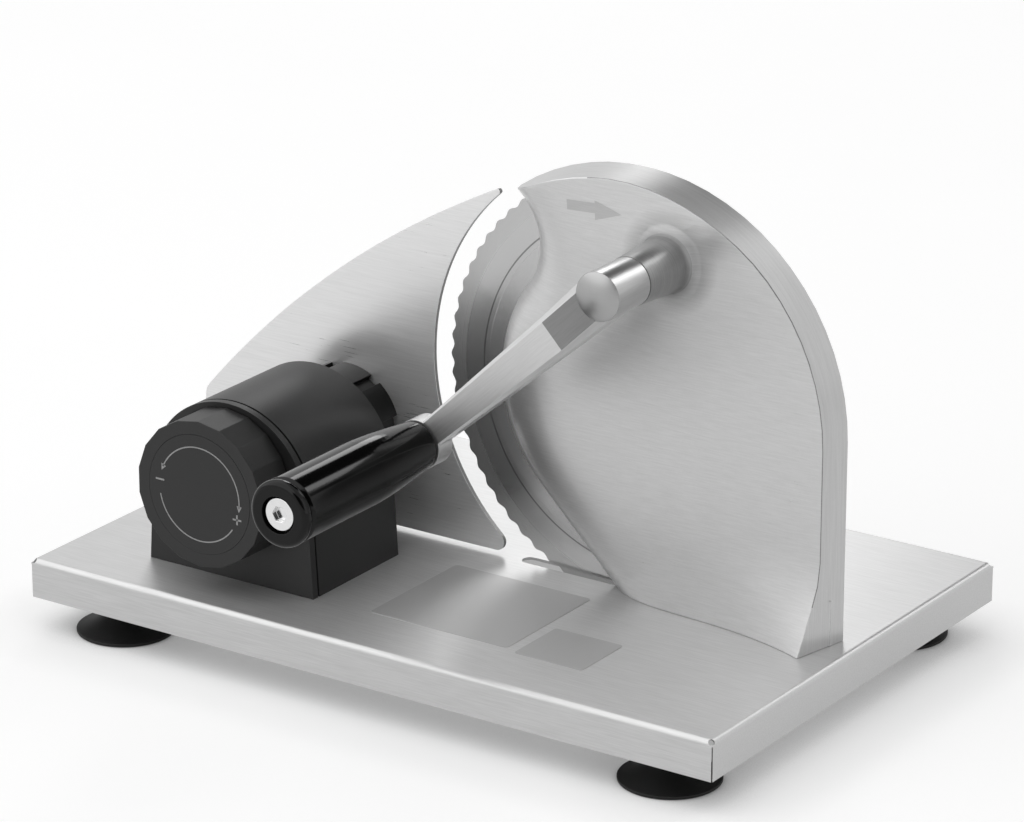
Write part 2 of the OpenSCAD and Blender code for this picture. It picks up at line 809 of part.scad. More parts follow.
module blade_gear() {
  color("whitesmoke") at_blade() difference() {
    union() {
      translate([0, 0, gear_back]) linear_extrude(gear_t) rotate(crank_dir) polygon(gear_points(gear_teeth));
      bar(flange_r, blade_front, gear_back + cut);
    }
    bar(blade_bush_r + seat_gap, 0, gear_front + cut);
    at_blade_screws() bar(screw_r + seat_gap, 0, gear_front - cut);
    ring(gear_module * gear_teeth / 2 - web_inset, flange_r, gear_front - gear_t / 3, gear_front + cut);
  }
}

module blade_bush() {
  color("darkgoldenrod") at_blade() ring(blade_bush_r, axle_r + run_gap, -blade_front, gear_front);
}

module blade_screws() {
  color("silver") at_blade() at_blade_screws() {
    bar(screw_r, -blade_front, gear_front - 2 * cut);
    translate([0, 0, -blade_front]) cylinder(r1 = screw_head_r, r2 = screw_r, h = screw_head_r - screw_r);
  }
}

// The shaft ends behind the pinion in a clip, and in front inside the hub
shaft_back = blade_front + blade_clear;
shaft_front = hub_front - shaft_inset;

module crank_shaft() {
  color("silver") at_crank() difference() {
    bar(shaft_r, shaft_back, shaft_front);
    ring(shaft_r + cut, shaft_r - clip_depth, pinion_back - clip_t, pinion_back);
    bar(screw_r + seat_gap, shaft_front - crank_screw_l - cut, shaft_front + cut);
  }
}

module crank_pinion() {
  half_pitch = 180 / pinion_teeth;
  color("silver") at_crank() difference() {
    translate([0, 0, pinion_back]) linear_extrude(pinion_front - pinion_back)
      rotate(crank_dir + 180 - half_pitch) polygon(gear_points(pinion_teeth));
    bar(shaft_r + seat_gap, 0, pinion_front + cut);
  }
}

module shaft_clip() {
  mouth = shaft_r;
  color("dimgray") at_crank() difference() {
    ring(shaft_r + clip_reach, shaft_r - clip_depth + seat_gap, pinion_back - clip_t, pinion_back);
    translate([-mouth / 2, 0, 0]) cube([mouth, 2 * shaft_r, pinion_back]);
  }
}

// Sections from the hub to the eye: distance along the arm, front level, thickness and chamfer
arm_sections = [
  [0, hub_front, arm_t_hub, chamfer_hub],
  [arm_bend, hub_front, arm_t_bend, chamfer_bend],
  [arm_l - eye_r, eye_front, arm_t, chamfer_eye],
  [arm_l, eye_front, arm_t, chamfer_eye]
];

// Outline across the arm: a flat back, and a front with both edges chamfered
function arm_outline(k) =
  let (
    w = (arm_w_hub + (arm_w_eye - arm_w_hub) * k[0] / arm_l) / 2,
    front = k[1],
    back = front - k[2],
    c = k[3],
    half = [[w - c, front], [w, front - c], [w, back]]
  )
  concat([for (i = [2:-1:0]) [k[0], -half[i].x, half[i].y]], [for (h = half) [k[0], h.x, h.y]]);

// Solid through a row of outlines with equal numbers of points
module loft(rings) {
  n = len(rings[0]);
  last = (len(rings) - 1) * n;
  polyhedron(
    points = [for (ring = rings) each ring],
    faces = concat(
      [[for (j = [n - 1:-1:0]) j]],
      [
        for (i = [0:len(rings) - 2], j = [0:n - 1])
          let (a = i * n + j, b = i * n + (j + 1) % n)
          each [[a, b, b + n], [a, b + n, a + n]]
      ],
      [[for (j = [0:n - 1]) last + j]]
    )
  );
}

cap_l = 3;
cap_wall = 2.5;
cap_margin = 0.1;
cap_seat = hub_front - cap_l;
cap_spigot_r = hub_r - cap_wall;
crank_head_h = 3.6;
crank_head_gap = 0.4;

module crank_arm() {
  color("silver") at_crank() difference() {
    rotate([0, 0, arm_dir]) union() {
      loft([for (k = arm_sections) arm_outline(k)]);
      bar(hub_r, hub_back, hub_front);
      translate([arm_l, 0, 0]) bar(eye_r, eye_back, eye_front);
    }
    bar(shaft_r + seat_gap, hub_back - cut, shaft_front);
    bar(screw_r + seat_gap, shaft_front - cut, hub_front);
    bar(cap_spigot_r + seat_gap, cap_seat - crank_head_h, hub_front + cut);
    rotate([0, 0, arm_dir]) translate([arm_l, 0, 0])
      bar(spindle_r + seat_gap, eye_back - cut, eye_front + cut);
  }
}

module crank_screw() {
  seat = cap_seat - crank_head_h;
  color("silver") at_crank() difference() {
    union() {
      bar(cap_spigot_r - cap_wall, seat, seat + crank_head_h - crank_head_gap);
      bar(screw_r, shaft_front - crank_screw_l, seat + cut);
    }
    hex_socket(seat + socket_d, cap_seat);
  }
}

module crank_cap() {
  dome_r = (pow(hub_r, 2) + pow(cap_rise, 2)) / (2 * cap_rise);
  color("gainsboro") at_crank() {
    bar(cap_spigot_r, cap_seat, hub_front + cap_margin);
    intersection() {
      bar(hub_r - cap_margin, hub_front, hub_front + cap_rise);
      translate([0, 0, hub_front + cap_rise - dome_r]) sphere(r = dome_r, $fn = 96);
    }
  }
}

ring_back = grip_front - ring_t;

module grip_spindle() {
  head_back = ring_back + end_gap;
  head_front = head_back + spindle_head_h;
  color("silver") at_grip() difference() {
    union() {
      bar(spindle_r, eye_back, head_back + cut);
      bar(head_r, head_back, head_front);
    }
    hex_socket(head_front - spindle_socket_d, head_front + cut);
  }
}

module grip_washer() {
  color("silver") at_grip()
    ring(grip_neck_r - washer_inset, spindle_r + seat_gap, eye_front, eye_front + washer_t);
}

// Radius of the grip at a distance t of its taper, from 0 at the arm to 1
function taper_r(t) = grip_neck_r + (grip_r - grip_neck_r) * (1 - pow(1 - t, taper_curve));
taper_curve = 1.5;
edge_round = 1.2;
washer_inset = 3;
spigot_l = 3;
spigot_wall = 2;
spigot_r = recess_r + spigot_wall;
taper_steps = 12;

module grip() {
  body_l = grip_l - ring_t;
  color([0.05, 0.05, 0.05]) at_grip() translate([0, 0, grip_back]) difference() {
    rotate_extrude() polygon(concat(
      [[0, 0], [grip_neck_r - edge_round, 0]],
      arc([grip_neck_r - edge_round, edge_round], edge_round, -60, 0, 3),
      [
        for (i = [1:taper_steps])
          [taper_r(i / taper_steps), edge_round + (grip_taper - edge_round) * i / taper_steps]
      ],
      [[grip_r, body_l - edge_round], [grip_r - edge_round, body_l], [0, body_l]]
    ));
    bar(spindle_r + run_gap, -cut, body_l + cut);
    bar(spigot_r + seat_gap, body_l - spigot_l, body_l + cut);
  }
}

module grip_end_cap() {
  bead_r = grip_r + ring_bead;
  color([0.09, 0.09, 0.09]) at_grip() translate([0, 0, grip_back + grip_l - ring_t]) difference() {
    rotate_extrude() polygon(concat(
      [[0, -spigot_l + end_gap], [spigot_r, -spigot_l + end_gap], [spigot_r, 0], [grip_r - edge_round, 0]],
      arc([bead_r - ring_t / 2, ring_t / 2], ring_t / 2, -80, 90, 8),
      [[0, ring_t]]
    ));
    bar(recess_r, 0, ring_t + cut);
    bar(spindle_r + run_gap, -spigot_l - cut, cut);
  }
}

// Arched outline of the housing, set in by an amount
module housing_outline(inset) {
  r = arch_r - inset;
  low = -adjuster_h;
  w = housing_w / 2 - inset;
  centre = arch_h - adjuster_h;
  polygon([[-w, low], [w, low], [r, centre], [-r, centre]]);
  translate([0, centre]) intersection() {
    circle(r = r);
    translate([-r - cut, -cut]) square([2 * (r + cut), r + 2 * cut]);
  }
}

// The sleeve's section and the keys that guide it
module sleeve_section() {
  difference() {
    circle(r = sleeve_r);
    for (k = [0:groove_count - 1]) rotate(groove_dir + 360 * k / groove_count)
      translate([sleeve_r - groove_d, -groove_w / 2]) square([groove_d + cut, groove_w]);
  }
}

module guide_keys() {
  reach = groove_d - end_gap;
  for (k = [0:groove_count - 1]) rotate(groove_dir + 360 * k / groove_count)
    translate([sleeve_r + run_gap - reach, end_gap - groove_w / 2])
      square([reach + cut, groove_w - 2 * end_gap]);
}

module adjuster_housing() {
  cavity_front = housing_front - housing_wall;
  color([0.15, 0.15, 0.16]) difference() {
    at_adjuster() difference() {
      union() {
        translate([0, 0, housing_back]) linear_extrude(housing_d) housing_outline(bead_groove);
        translate([0, 0, housing_back]) linear_extrude(housing_d - bead_w - bead_groove) housing_outline(0);
        translate([0, 0, housing_front - bead_w]) linear_extrude(bead_w) housing_outline(0);
      }
      difference() {
        bar(sleeve_r + run_gap, housing_back - cut, cavity_front);
        translate([0, 0, housing_back]) linear_extrude(key_l) guide_keys();
      }
      bar(neck_r + run_gap, housing_back, housing_front + cut);
    }
    at_housing_screws() translate([0, 0, top_z - cut])
      cylinder(r = screw_r + seat_gap, h = housing_screw_l + 2 * cut);
  }
}

module housing_screws() {
  color("silver") at_housing_screws() tray_screw(housing_screw_l);
}

collar_front = housing_front - housing_wall - end_gap;
collar_back = collar_front - collar_t;
screw_seat = knob_front - dial_t - knob_screw_head_h - knob_web;

module adjuster_spindle() {
  color("silver") at_adjuster() difference() {
    union() {
      bar(lead_r, lead_back, collar_back);
      bar(lead_r + collar_reach, collar_back, collar_front);
      bar(neck_r, collar_front - cut, screw_seat);
    }
    bar(screw_r + seat_gap, screw_seat - knob_screw_l - cut, screw_seat + cut);
  }
}

module knob_washer() {
  color("gainsboro") at_adjuster() ring(knob_washer_r, neck_r + seat_gap, knob_back, knob_back + washer_t);
}

module adjuster_knob() {
  turn = 180 / knob_flats;
  color([0.12, 0.12, 0.13]) at_adjuster() difference() {
    rotate([0, 0, turn]) translate([0, 0, knob_back]) linear_extrude(knob_d)
      polygon([for (k = [0:knob_flats - 1]) polar(knob_r, 360 * k / knob_flats)]);
    bar(neck_r + seat_gap, knob_back - cut, screw_seat);
    bar(screw_r + seat_gap, screw_seat - cut, knob_front);
    bar(knob_screw_head_r + knob_web, screw_seat, knob_front);
    bar(dial_r + seat_gap, knob_front - dial_t, knob_front + cut);
    bar(knob_washer_r + seat_gap, knob_back - cut, knob_back + washer_t);
  }
}

module knob_dial() {
  color([0.14, 0.14, 0.15]) at_adjuster() bar(dial_r, knob_front - dial_t, knob_front);
}

module knob_screw() {
  color("silver") at_adjuster() difference() {
    union() {
      bar(knob_screw_head_r, screw_seat, screw_seat + knob_screw_head_h);
      bar(screw_r, screw_seat - knob_screw_l, screw_seat + cut);
    }
    hex_socket(screw_seat + socket_d, knob_front);
  }
}

module at_fence_screws() {
  for (k = [0:2]) rotate([0, 0, 120 * k + 90]) translate([fence_screw_pcd / 2, 0, 0]) children();
}

module fence_carrier() {
  color([0.10, 0.10, 0.11]) at_adjuster() difference() {
    translate([0, 0, fence_front]) linear_extrude(sleeve_l) sleeve_section();
    bar(sleeve_r - sleeve_wall, fence_front + sleeve_end_t, fence_front + sleeve_l + cut);
    at_fence_screws() bar(screw_r + seat_gap, fence_front - cut, fence_front + sleeve_end_t + cut);
  }
}

module carrier_nut() {
  front = fence_front + sleeve_l;
  color("darkgoldenrod") at_adjuster()
    ring(sleeve_r - sleeve_wall - seat_gap, lead_r + run_gap, front - nut_l, front);
}

// Outline of the fence: two arcs, two straight edges and four rounded corners
function fence_points() =
  let (
    corner = [
      fence_left + corner_round,
      top_c.y + sqrt(pow(fence_top_r - corner_round, 2) - pow(fence_left + corner_round - top_c.x, 2))
    ],
    tip = meet(top_c, fence_top_r - tip_round, [0, 0], fence_r + tip_round),
    low = [-sqrt(pow(fence_r + low_round, 2) - pow(fence_low + low_round, 2)), fence_low + low_round],
    foot = [fence_left + corner_round, fence_low + corner_round],
    corner_a = heading(top_c, corner),
    tip_a = heading(top_c, tip),
    tip_in = heading(tip, [0, 0]),
    low_in = heading(low, [0, 0])
  )
  distinct(concat(
    arc(foot, corner_round, 270, 180, 8),
    arc(corner, corner_round, 180, corner_a, 8),
    arc(top_c, fence_top_r, corner_a, tip_a, 24),
    arc(tip, tip_round, tip_a, tip_in, 6),
    arc([0, 0], fence_r, heading([0, 0], tip), heading([0, 0], low) + 360, 40),
    arc(low, low_round, low_in, -90, 8)
  ));

module fence_plate() {
  color("silver") difference() {
    at_blade() translate([0, 0, fence_front - fence_t]) linear_extrude(fence_t) polygon(fence_points());
    at_adjuster() at_fence_screws() translate([0, 0, fence_front - fence_t]) {
      bar(screw_r + seat_gap, -cut, fence_t + cut);
      cylinder(r1 = screw_head_r + seat_gap, r2 = screw_r + seat_gap, h = screw_head_r - screw_r);
    }
  }
}

module fence_screws() {
  color("silver") at_adjuster() at_fence_screws() translate([0, 0, fence_front - fence_t]) {
    cylinder(r1 = screw_head_r, r2 = screw_r, h = screw_head_r - screw_r);
    bar(screw_r, 0, fence_t + sleeve_end_t);
  }
}

base_plate();
foot_front_left();
foot_front_right();
foot_back_left();
foot_back_right();
foot_weld_nuts();
foot_studs();
blade_cover();
cover_screws();
blade_axle();
axle_washer();
blade_retaining_screw();
crank_bush_front();
crank_bush_rear();
blade();
blade_gear();
blade_bush();
blade_screws();
crank_shaft();
crank_pinion();
shaft_clip();
crank_arm();
crank_screw();
crank_cap();
grip_spindle();
grip_washer();
grip();
grip_end_cap();
adjuster_housing();
housing_screws();
adjuster_knob();
knob_dial();
knob_screw();
adjuster_spindle();
knob_washer();
fence_carrier();
carrier_nut();
fence_plate();
fence_screws();
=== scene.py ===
import json
import math

import bpy
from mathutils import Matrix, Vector

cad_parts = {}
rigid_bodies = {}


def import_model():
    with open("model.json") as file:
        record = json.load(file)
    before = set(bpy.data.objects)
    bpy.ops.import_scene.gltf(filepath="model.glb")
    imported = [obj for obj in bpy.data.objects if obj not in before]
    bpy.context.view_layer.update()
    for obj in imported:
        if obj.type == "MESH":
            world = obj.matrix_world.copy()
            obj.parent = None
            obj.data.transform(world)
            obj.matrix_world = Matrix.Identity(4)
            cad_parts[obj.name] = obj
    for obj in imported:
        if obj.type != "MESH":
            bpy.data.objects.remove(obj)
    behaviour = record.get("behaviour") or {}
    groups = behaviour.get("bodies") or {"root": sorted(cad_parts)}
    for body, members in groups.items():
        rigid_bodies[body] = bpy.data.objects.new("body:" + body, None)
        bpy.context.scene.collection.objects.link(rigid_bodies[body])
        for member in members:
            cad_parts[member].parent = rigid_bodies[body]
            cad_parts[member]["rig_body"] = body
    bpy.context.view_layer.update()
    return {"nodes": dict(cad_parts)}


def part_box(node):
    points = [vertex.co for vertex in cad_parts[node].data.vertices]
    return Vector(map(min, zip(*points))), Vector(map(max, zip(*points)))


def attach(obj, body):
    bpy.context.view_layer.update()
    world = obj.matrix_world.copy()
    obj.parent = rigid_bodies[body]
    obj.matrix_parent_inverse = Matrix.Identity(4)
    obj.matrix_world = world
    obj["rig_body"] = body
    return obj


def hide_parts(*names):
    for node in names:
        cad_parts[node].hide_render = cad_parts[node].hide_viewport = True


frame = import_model()

# Base tray: one stainless sheet, cut flat, folded down on four sides and brushed along its length.
# The corners stay open seams with a small relief hole, and the blade dips through a slot in the top.
mm = 0.001
nodes = frame["nodes"]


class Shade:
    """A socket among a material's nodes. Arithmetic on it adds Math nodes to the same material."""

    def __init__(self, tree, socket=None):
        self.tree = tree
        self.socket = socket

    def node(self, kind, settings={}, inputs={}, output=0):
        """Adds a node with these settings and these values or links, and gives one of its outputs."""
        made = self.tree.nodes.new(kind)
        for name, value in settings.items():
            setattr(made, name, value)
        for name, value in inputs.items():
            if isinstance(value, Shade):
                self.tree.links.new(value.socket, made.inputs[name])
            else:
                made.inputs[name].default_value = value
        return Shade(self.tree, made.outputs[output])

    def feed(self, shader, name):
        """Links this value to one of the shader's inputs."""
        self.tree.links.new(self.socket, shader.inputs[name])

    def math(self, operation, first, second=0.0):
        return self.node("ShaderNodeMath", {"operation": operation}, {0: first, 1: second})

    def __add__(self, other):
        return self.math("ADD", self, other)

    def __sub__(self, other):
        return self.math("SUBTRACT", self, other)

    def __rsub__(self, other):
        return self.math("SUBTRACT", other, self)

    def __mul__(self, other):
        return self.math("MULTIPLY", self, other)

    def __gt__(self, other):
        return self.math("GREATER_THAN", self, other)

    def __abs__(self):
        return self.math("ABSOLUTE", self)

    __radd__ = __add__
    __rmul__ = __mul__

    def part(self, axis):
        """One of these coordinates, named X, Y or Z."""
        return self.node("ShaderNodeSeparateXYZ", {}, {"Vector": self}, axis)

    def between(self, low, high):
        """A colour that goes from low to high as this value goes from 0 to 1."""
        return self.node("ShaderNodeMix", {"data_type": "RGBA"}, {0: self, 6: low, 7: high}, 2)

    def in_steps(self, steps, rotation=(0, 0, 0)):
        """These coordinates turned back by a rotation and counted in steps of these lengths."""
        sizes = {"Vector": self, "Rotation": rotation, "Scale": steps}
        return self.node("ShaderNodeMapping", {"vector_type": "TEXTURE"}, sizes)

    def from_axis(self, axis):
        """The distance of these coordinates from a line along Y through a point."""
        moved = {"Vector": self, "Location": (-axis.x, 0, -axis.z), "Scale": (1, 0, 1)}
        level = self.node("ShaderNodeMapping", {}, moved)
        return self.node("ShaderNodeVectorMath", {"operation": "LENGTH"}, {0: level}, "Value")

    def clamped(self):
        """This value kept from 0 to 1."""
        return self.node("ShaderNodeClamp", {}, {"Value": self})

    def noise(self, scale, detail=3.0):
        """A cloudy value from 0 to 1 over these coordinates."""
        return self.node("ShaderNodeTexNoise", {}, {"Vector": self, "Scale": scale, "Detail": detail})

    def relief(self, depth, strength=1.0):
        """A normal that stands up by this depth where the value is 1."""
        return self.node("ShaderNodeBump", {}, {"Height": self, "Strength": strength, "Distance": depth})


def grey(tone, warmth=0.0):
    """A grey, a little towards red for a warmth above 0 and towards blue below."""
    return (tone * (1 + warmth), tone, tone * (1 - warmth), 1.0)


def new_finish(name, fixed):
    """A material with these fixed values on its shader. Gives it, its shader and its object coordinates."""
    finish = bpy.data.materials.new(name)
    finish.use_nodes = True
    shader = finish.node_tree.nodes["Principled BSDF"]
    for socket, value in fixed.items():
        shader.inputs[socket].default_value = value
    return finish, shader, Shade(finish.node_tree).node("ShaderNodeTexCoord", output="Object")


def to_front(place):
    """How far the surface faces the crank's side, from 1 for straight to -1 for away."""
    return place.node("ShaderNodeNewGeometry", output="Normal").part("Y") * -1


def brushed(name, tone, steps, roughness, contrast=0.1, rotation=(0, 0, 0), metallic=1.0, painted_shade=None):
    """Brushed metal: fine lines in tone, gloss and relief, a few broad marks, and zones darkened with
    painted shade.
    """
    finish, shader, place = new_finish(name, {"Metallic": metallic})
    lines = place.in_steps(steps, rotation).noise(1.0, 4.0)
    marks = place.noise(14.0)
    shade = (lines * 1.6 + marks * 0.4 - 1) * (contrast * tone) + tone
    # Painted shade: the zones that the mask gives are darkened.
    if painted_shade:
        shade = shade * (1 - 0.6 * painted_shade(place))
    shade.between(grey(0.0), grey(1.0)).feed(shader, "Base Color")
    (roughness - 0.09 + 0.1 * lines + 0.08 * marks).feed(shader, "Roughness")
    lines.relief(0.003 * mm, 0.6).feed(shader, "Normal")
    return finish


def coat(finish, *pieces):
    """Gives pieces this material alone."""
    for piece in pieces:
        piece.data.materials.clear()
        piece.data.materials.append(finish)


def dressed(node, edge, turn=30, flat=True, rounded=None):
    """A merged copy of a CAD node, which stands for the node, with its sharp edges rounded by edge.

    Where rounded is given, only the sharp edges whose ends it accepts are rounded.
    """
    source = nodes[node]
    bpy.ops.object.select_all(action="DESELECT")
    piece = bpy.data.objects.new(node + "_finished", source.data.copy())
    bpy.context.collection.objects.link(piece)
    bpy.context.view_layer.objects.active = piece
    piece.select_set(True)
    bpy.ops.mesh.customdata_custom_splitnormals_clear()
    bpy.ops.object.mode_set(mode="EDIT")
    bpy.ops.mesh.select_all(action="SELECT")
    bpy.ops.mesh.remove_doubles(threshold=0.004 * mm)
    if flat:
        bpy.ops.mesh.dissolve_limited(angle_limit=math.radians(0.4))
    bpy.ops.object.mode_set(mode="OBJECT")
    rounding = piece.modifiers.new("rounding", "BEVEL")
    rounding.width = edge
    rounding.segments = 3
    rounding.limit_method = "ANGLE"
    rounding.angle_limit = math.radians(turn)
    if rounded:
        weights = piece.data.attributes.new("bevel_weight_edge", "FLOAT", "EDGE")
        for weight, line in zip(weights.data, piece.data.edges):
            weight.value = all(rounded(piece.data.vertices[end].co) for end in line.vertices)
        bpy.ops.object.mode_set(mode="EDIT")
        bpy.ops.mesh.select_mode(type="EDGE")
        bpy.ops.mesh.select_all(action="DESELECT")
        bpy.ops.mesh.edges_select_sharp(sharpness=math.radians(turn))
        bpy.ops.mesh.select_all(action="INVERT")
        bpy.ops.transform.edge_bevelweight(value=-1)
        bpy.ops.object.mode_set(mode="OBJECT")
        rounding.limit_method = "WEIGHT"
        rounding.use_clamp_overlap = False
    bpy.ops.object.modifier_apply(modifier=rounding.name)
    bpy.ops.object.shade_smooth_by_angle(angle=math.radians(turn))
    levelling = piece.modifiers.new("levelling", "WEIGHTED_NORMAL")
    levelling.keep_sharp = True
    bpy.ops.object.modifier_apply(modifier=levelling.name)
    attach(piece, source["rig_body"])
    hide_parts(node)
    return piece


tray = dressed("base_plate", 0.2 * mm)
tray_steel = brushed("stainless_sheet", 0.6, (14 * mm, 0.6 * mm, 0.6 * mm), 0.4, 0.2, metallic=0.6)
coat(tray_steel, tray)

# Rating plates: two thin self-adhesive silver foils with round corners, pressed on the tray's top.
# They carry no print here, only a fine embossed frame line.
tray_low, tray_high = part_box("base_plate")
tray_middle = (tray_low + tray_high) / 2
foil_thickness = 0.14 * mm
frame_margin = 0.5 * mm
frame_width = 0.25 * mm
frame_depth = 0.05 * mm


def foil_plate(name, centre, size, corner):
    """A thin plate with round corners and a pressed frame line, lying on the tray."""
    bpy.ops.object.select_all(action="DESELECT")
    place = (tray_middle.x + centre[0], tray_middle.y + centre[1], tray_high.z)
    bpy.ops.mesh.primitive_plane_add(size=1, location=place)
    plate = bpy.context.object
    plate.name = name
    plate.scale = (size[0], size[1], 1)
    bpy.ops.object.transform_apply()
    bpy.ops.object.mode_set(mode="EDIT")
    bpy.ops.mesh.select_mode(type="FACE")
    bpy.ops.mesh.select_all(action="SELECT")
    bpy.ops.mesh.bevel(offset=corner, segments=6, affect="VERTICES")
    bpy.ops.mesh.extrude_region_move(TRANSFORM_OT_translate={"value": (0, 0, foil_thickness)})
    bpy.ops.mesh.inset(thickness=frame_margin)
    bpy.ops.mesh.inset(thickness=frame_width, depth=-frame_depth)
    bpy.ops.mesh.inset(thickness=frame_width, depth=frame_depth)
    bpy.ops.mesh.select_all(action="SELECT")
    bpy.ops.mesh.normals_make_consistent(inside=False)
    bpy.ops.object.mode_set(mode="OBJECT")
    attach(plate, "frame")
    return plate


large_plate = foil_plate("rating_plate_large", (17.8 * mm, -49 * mm), (68.4 * mm, 62.8 * mm), 2 * mm)
small_plate = foil_plate("rating_plate_small", (73.5 * mm, -67.5 * mm), (33 * mm, 31 * mm), 1.5 * mm)
foil = brushed("silver_foil", 0.48, (0.5 * mm, 20 * mm, 0.5 * mm), 0.46, 0.05, metallic=0.8)
coat(foil, large_plate, small_plate)

# Suction cups: soft black rubber, moulded round a stud, a little lighter along a thin rim at the bottom.
# Each stud screws into a round nut welded under the tray.
cup_rim_height = 1.3 * mm
cups = [
    dressed("foot_" + corner, 0.25 * mm)
    for corner in ("front_left", "front_right", "back_left", "back_right")
]
rubber, shader, place = new_finish("cup_rubber", {"Specular IOR Level": 0.35})
grain = place.noise(2600.0, 2.0)
bloom = place.noise(60.0)
# A little lighter below the rim height at the bottom.
rim = 1 - (place.part("Z") > cup_rim_height)
(bloom * 0.7 + rim * 0.5).between(grey(0.002), grey(0.01)).feed(shader, "Base Color")
(0.5 + 0.16 * bloom + 0.1 * grain).feed(shader, "Roughness")
grain.relief(0.03 * mm, 0.4).feed(shader, "Normal")
coat(rubber, *cups)

zinc, shader, place = new_finish("bright_zinc", {"Metallic": 1.0})
cloud = place.noise(180.0)
cloud.between(grey(0.5, -0.02), grey(0.66, -0.03)).feed(shader, "Base Color")
(0.2 + 0.16 * cloud).feed(shader, "Roughness")
place.noise(1400.0).relief(0.01 * mm, 0.3).feed(shader, "Normal")
coat(zinc, *(nodes[name] for name in ("foot_weld_nuts", "foot_studs", "cover_screws", "housing_screws")))

# Blade cover: a thin aluminium casting with an S-shaped edge that rolls up from a lip round the blade.
# Its face is finely brushed level, its rim brushed along its sweep, and its right foot flares forward.
# The fillet round the crank's boss is rougher, and the face round the boss is darkened with painted shade.
boss_low, boss_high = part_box("crank_bush_front")
boss_axis = (boss_low + boss_high) / 2
boss_reach = 24 * mm
dull_and_shade_reach = 23 * mm
dull_and_shade_fade = 10 * mm
rim_radius = 89.4 * mm
rim_foot = 52 * mm
rim_side = 45 * mm


def off_the_boss(point):
    """Whether a point lies clear of the crank's boss and its fillet."""
    return math.hypot(point.x - boss_axis.x, point.z - boss_axis.z) > boss_reach


cover = dressed("blade_cover", 0.4 * mm, turn=42, flat=False, rounded=off_the_boss)
blade_low, blade_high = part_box("blade")
blade_axis = (blade_low + blade_high) / 2
satin, shader, place = new_finish("cast_aluminium", {"Metallic": 0.75})
forward = to_front(place)
front = abs(forward) > 0.55
level_lines = place.in_steps((10 * mm, 10 * mm, 0.6 * mm)).noise(1.0, 4.0)
sweep_lines = place.in_steps((24 * mm, 0.6 * mm, 24 * mm)).noise(1.0, 4.0)
lines = front * level_lines + (1 - front) * sweep_lines
blast = place.noise(900.0, 2.0)
marks = place.noise(9.0)
radius = place.from_axis(blade_axis)
near_boss = ((dull_and_shade_reach - place.from_axis(boss_axis)) * (1 / dull_and_shade_fade)).clamped()
fillet = near_boss * (1.6 * forward).clamped()
# Painted shade: a dark line along the rounded edge between face and rim, and faces that don't face the
# front a little darker than the face.
on_rim = (radius > rim_radius) * (place.part("Z") > rim_foot) * (place.part("X") > rim_side)
rim_edge = (forward > 0.3) * (0.93 - forward > 0) * on_rim
shade = 0.49 + 0.15 * lines + 0.03 * blast + 0.05 * marks - 0.08 * (1 - front)
# Painted shade: the face round the crank's boss is darkened, most near the boss.
shade = shade - 0.34 * rim_edge - 0.22 * near_boss
shade.between(grey(0.0), grey(1.0)).feed(shader, "Base Color")
(0.22 + 0.1 * lines + 0.08 * marks + 0.3 * fillet).feed(shader, "Roughness")
(lines * 0.8 + blast * 0.2).relief(0.005 * mm, 0.6).feed(shader, "Normal")
coat(satin, cover)

# Turning arrow: a flat grey print near the cover's top that shows which way the blade turns.
# It lies on the casting like ink, so it follows the face and has almost no thickness.
arrow_lift = 0.04 * mm
shaft_size = (14 * mm, 4.3 * mm, 1)
shaft_slope = math.radians(-3.9)
head_size = (4.8 * mm, 9 * mm, 1)
head_slope = math.radians(88)
upright = math.radians(90)
arrow_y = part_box("blade_cover")[0].y
bpy.ops.object.select_all(action="DESELECT")
shaft_middle = (42 * mm, arrow_y, tray_high.z + 167.9 * mm)
bpy.ops.mesh.primitive_grid_add(x_subdivisions=24, y_subdivisions=8, size=1, location=shaft_middle)
arrow = bpy.context.object
arrow.name = "turning_arrow"
arrow.scale = shaft_size
arrow.rotation_euler = (upright, shaft_slope, 0)
bpy.ops.object.transform_apply(location=True, rotation=True, scale=True)
head_middle = (53.5 * mm, arrow_y, tray_high.z + 167.7 * mm)
bpy.ops.mesh.primitive_circle_add(vertices=3, radius=1, fill_type="NGON", location=head_middle)
head = bpy.context.object
head.scale = head_size
head.rotation_euler = (upright, head_slope, 0)
bpy.ops.object.transform_apply(location=True, rotation=True, scale=True)
bpy.ops.object.mode_set(mode="EDIT")
bpy.ops.mesh.select_all(action="SELECT")
bpy.ops.mesh.quads_convert_to_tris()
for level in range(4):
    bpy.ops.mesh.subdivide()
bpy.ops.object.mode_set(mode="OBJECT")
arrow.select_set(True)
bpy.context.view_layer.objects.active = arrow
bpy.ops.object.join()
laid = arrow.modifiers.new("laid", "SHRINKWRAP")
laid.target = cover
laid.wrap_method = "PROJECT"
laid.use_project_y = True
laid.use_positive_direction = True
laid.offset = arrow_lift
bpy.ops.object.modifier_apply(modifier=laid.name)
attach(arrow, "frame")
ink, shader, place = new_finish("grey_ink", {"Metallic": 0.8})
cover_grain = place.in_steps((10 * mm, 10 * mm, 0.6 * mm)).noise(1.0)
cover_grain.between(grey(0.42), grey(0.54)).feed(shader, "Base Color")
(0.36 + 0.12 * cover_grain).feed(shader, "Roughness")
coat(ink, arrow)

# Bearings: a steel axle for the blade and two sintered brass bushes for the crank, pressed in the cover.
# The blade's own bush and the nut in the fence's sleeve are of the same brass, with fine open pores.
brass, shader, place = new_finish("bearing_brass", {"Metallic": 1.0})
pores = place.noise(1500.0, 2.0)
pores.between((0.42, 0.27, 0.09, 1), (0.66, 0.47, 0.2, 1)).feed(shader, "Base Color")
(0.3 + 0.2 * pores).feed(shader, "Roughness")
pores.relief(0.02 * mm, 0.3).feed(shader, "Normal")
coat(brass, *(nodes[name] for name in ("crank_bush_front", "crank_bush_rear", "blade_bush", "carrier_nut")))
coat(zinc, *(nodes[name] for name in ("blade_axle", "axle_washer", "blade_retaining_screw")))
